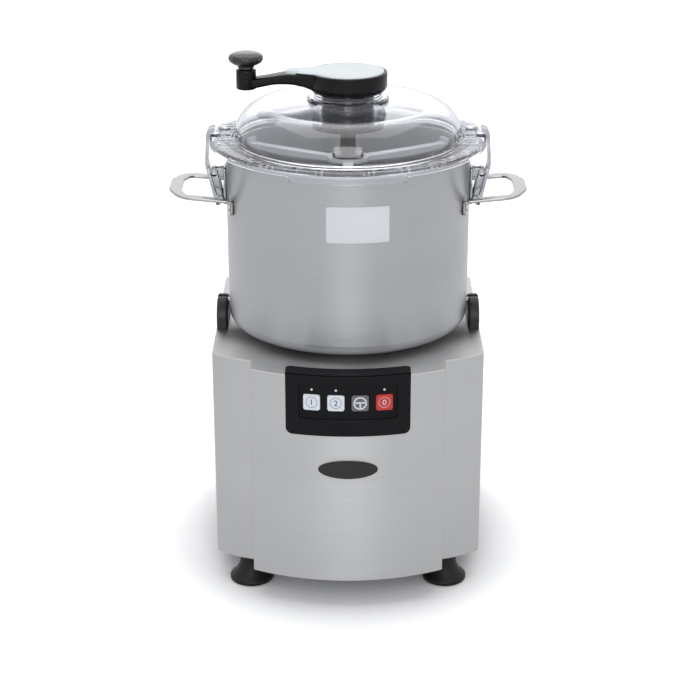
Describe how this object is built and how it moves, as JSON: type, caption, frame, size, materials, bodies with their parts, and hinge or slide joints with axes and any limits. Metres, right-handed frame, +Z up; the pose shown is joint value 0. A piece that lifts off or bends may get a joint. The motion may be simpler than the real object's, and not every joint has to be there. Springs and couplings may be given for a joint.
{
  "type": "bowl cutter",
  "caption": "Bench bowl cutter for meat: steel base with keys, lift-off steel bowl with S blades, clear latched lid with a crank that turns a wall scraper.",
  "frame": {"origin": "on the ground under the bowl axis, at the middle of the whole outline", "axes": "+X to the right as the keys are faced, +Y to the back, +Z up along the bowl axis"},
  "size_m": [0.4102, 0.3634, 0.6078],
  "materials": {
    "brushed_steel": "fine vertical brushing",
    "plain_steel": "plain sheet",
    "black_rubber": "matt",
    "zinc_steel": "zinc plated",
    "black_plastic": "fine moulded texture",
    "keypad_black": "satin",
    "lamp_lens": "clear lens, unlit",
    "board_green": "lacquered",
    "badge_black": "gloss with a pale rim, blank",
    "motor_paint": "painted",
    "cast_aluminium": "as cast",
    "bearing_steel": "ground",
    "seal_rubber": "matt",
    "capacitor_shell": "moulded",
    "gland_plastic": "moulded",
    "post_plastic": "moulded",
    "shaft_steel": "turned",
    "rotor_iron": "laminated",
    "fan_plastic": "moulded",
    "bowl_steel": "fine brushing round the bowl",
    "rivet_steel": "polished",
    "label_white": "blank sticker",
    "handle_steel": "tumbled",
    "latch_steel": "satin",
    "strap_steel": "satin",
    "blade_steel": "ground edges",
    "knob_black": "satin moulded",
    "clear_lid": "clear polycarbonate",
    "gasket_silicone": "translucent silicone",
    "scraper_clear": "milky",
    "pale_cap": "pale milky plastic",
    "key_white": "gloss",
    "key_grey": "gloss",
    "key_red": "gloss"
  },
  "bodies": {
    "base": {"housing_shell": "brushed_steel", "top_plate": "brushed_steel", "bottom_plate": "plain_steel", "rear_panel": "brushed_steel", "rubber_feet": "black_rubber", "foot_bolts": "zinc_steel", "control_bezel": "black_plastic", "keypad_panel": "keypad_black", "indicator_lenses": "lamp_lens", "control_board": "board_green", "badge_plate": "badge_black", "motor_stator": "motor_paint", "motor_bell_upper": "cast_aluminium", "motor_bell_lower": "cast_aluminium", "motor_bearings": "bearing_steel", "motor_screws": "zinc_steel", "spindle_seal": "seal_rubber", "bowl_seat_ring": "seal_rubber", "run_capacitor": "capacitor_shell", "cable_gland": "gland_plastic", "bowl_post_left": "post_plastic", "bowl_post_right": "post_plastic", "panel_screws": "zinc_steel"},
    "drive": {"drive_shaft": "shaft_steel", "rotor_core": "rotor_iron", "cooling_fan": "fan_plastic"},
    "bowl": {"bowl_shell": "bowl_steel", "bowl_centre_tube": "bowl_steel", "bowl_rivets": "rivet_steel", "bowl_studs": "rivet_steel", "label_plate": "label_white", "handle_left": "handle_steel", "handle_right": "handle_steel", "latch_bracket_left": "latch_steel", "latch_bracket_right": "latch_steel", "lever_pins": "rivet_steel"},
    "blades": {"blade_hub": "shaft_steel", "blade_lower": "blade_steel", "blade_spacer": "shaft_steel", "blade_upper": "blade_steel", "blade_knob": "knob_black"},
    "lid": {"lid_dome": "clear_lid", "lid_gasket": "gasket_silicone"},
    "lever_left": {"latch_lever_left": "latch_steel", "strap_pin_left": "rivet_steel"},
    "lever_right": {"latch_lever_right": "latch_steel", "strap_pin_right": "rivet_steel"},
    "strap_left": {"latch_strap_left": "strap_steel"},
    "strap_right": {"latch_strap_right": "strap_steel"},
    "crank": {"crank_arm": "knob_black", "crank_retainer": "knob_black", "scraper_hub": "knob_black", "scraper_arms": "scraper_clear", "knob_pin": "shaft_steel"},
    "crank_cap": {"crank_cap": "pale_cap"},
    "crank_knob": {"crank_knob": "knob_black"},
    "key_one": {"button_one": "key_white"},
    "key_two": {"button_two": "key_white"},
    "key_pulse": {"button_pulse": "key_grey"},
    "key_off": {"button_off": "key_red"}
  },
  "joints": [
    {"name": "bowl_lift", "type": "slide", "parent": "base", "child": "bowl", "axis": [0, 0, 1], "range_m": [0, 0.12]},
    {"name": "drive_spin", "type": "hinge", "parent": "base", "child": "drive", "pos_m": [0, 0, 0.2], "axis": [0, 0, 1], "continuous": true},
    {"name": "blade_spin", "type": "hinge", "parent": "bowl", "child": "blades", "pos_m": [0, 0, 0.35], "axis": [0, 0, 1], "continuous": true},
    {"name": "lid_lift", "type": "slide", "parent": "bowl", "child": "lid", "axis": [0, 0, 1], "range_m": [0, 0.12]},
    {"name": "lever_right_turn", "type": "hinge", "parent": "bowl", "child": "lever_right", "pos_m": [0.1535, 0, 0.469], "axis": [0, -1, 0], "range_deg": [0, 115]},
    {"name": "strap_right_turn", "type": "hinge", "parent": "lever_right", "child": "strap_right", "pos_m": [0.1464, 0, 0.4395], "axis": [0, 1, 0], "range_deg": [0, 160]},
    {"name": "lever_left_turn", "type": "hinge", "parent": "bowl", "child": "lever_left", "pos_m": [-0.1535, 0, 0.469], "axis": [0, 1, 0], "range_deg": [0, 115]},
    {"name": "strap_left_turn", "type": "hinge", "parent": "lever_left", "child": "strap_left", "pos_m": [-0.1464, 0, 0.4395], "axis": [0, -1, 0], "range_deg": [0, 160]},
    {"name": "crank_turn", "type": "hinge", "parent": "lid", "child": "crank", "pos_m": [0, 0, 0.57], "axis": [0, 0, 1], "continuous": true},
    {"name": "knob_spin", "type": "hinge", "parent": "crank", "child": "crank_knob", "pos_m": [-0.115, 0, 0.6], "axis": [0, 0, 1], "continuous": true},
    {"name": "cap_lift", "type": "slide", "parent": "crank", "child": "crank_cap", "axis": [0, 0, 1], "range_m": [0, 0.02]},
    {"name": "key_one_press", "type": "slide", "parent": "base", "child": "key_one", "axis": [0.172, 0.9851, 0], "range_m": [0, 0.0008], "stiffness_N_per_m": 400},
    {"name": "key_two_press", "type": "slide", "parent": "base", "child": "key_two", "axis": [0.0573, 0.9984, 0], "range_m": [0, 0.0008], "stiffness_N_per_m": 400},
    {"name": "key_pulse_press", "type": "slide", "parent": "base", "child": "key_pulse", "axis": [-0.0573, 0.9984, 0], "range_m": [0, 0.0008], "stiffness_N_per_m": 400},
    {"name": "key_off_press", "type": "slide", "parent": "base", "child": "key_off", "axis": [-0.172, 0.9851, 0], "range_m": [0, 0.0008], "stiffness_N_per_m": 400}
  ],
  "couplings": [
    {"joint": "blade_spin", "follows": "drive_spin", "ratio": 1},
    {"joint": "lever_right_turn", "follows": "lid_lift", "rad_per_m": 16.726},
    {"joint": "strap_right_turn", "follows": "lid_lift", "rad_per_m": 23.271},
    {"joint": "lever_left_turn", "follows": "lid_lift", "rad_per_m": 16.726},
    {"joint": "strap_left_turn", "follows": "lid_lift", "rad_per_m": 23.271}
  ]
}
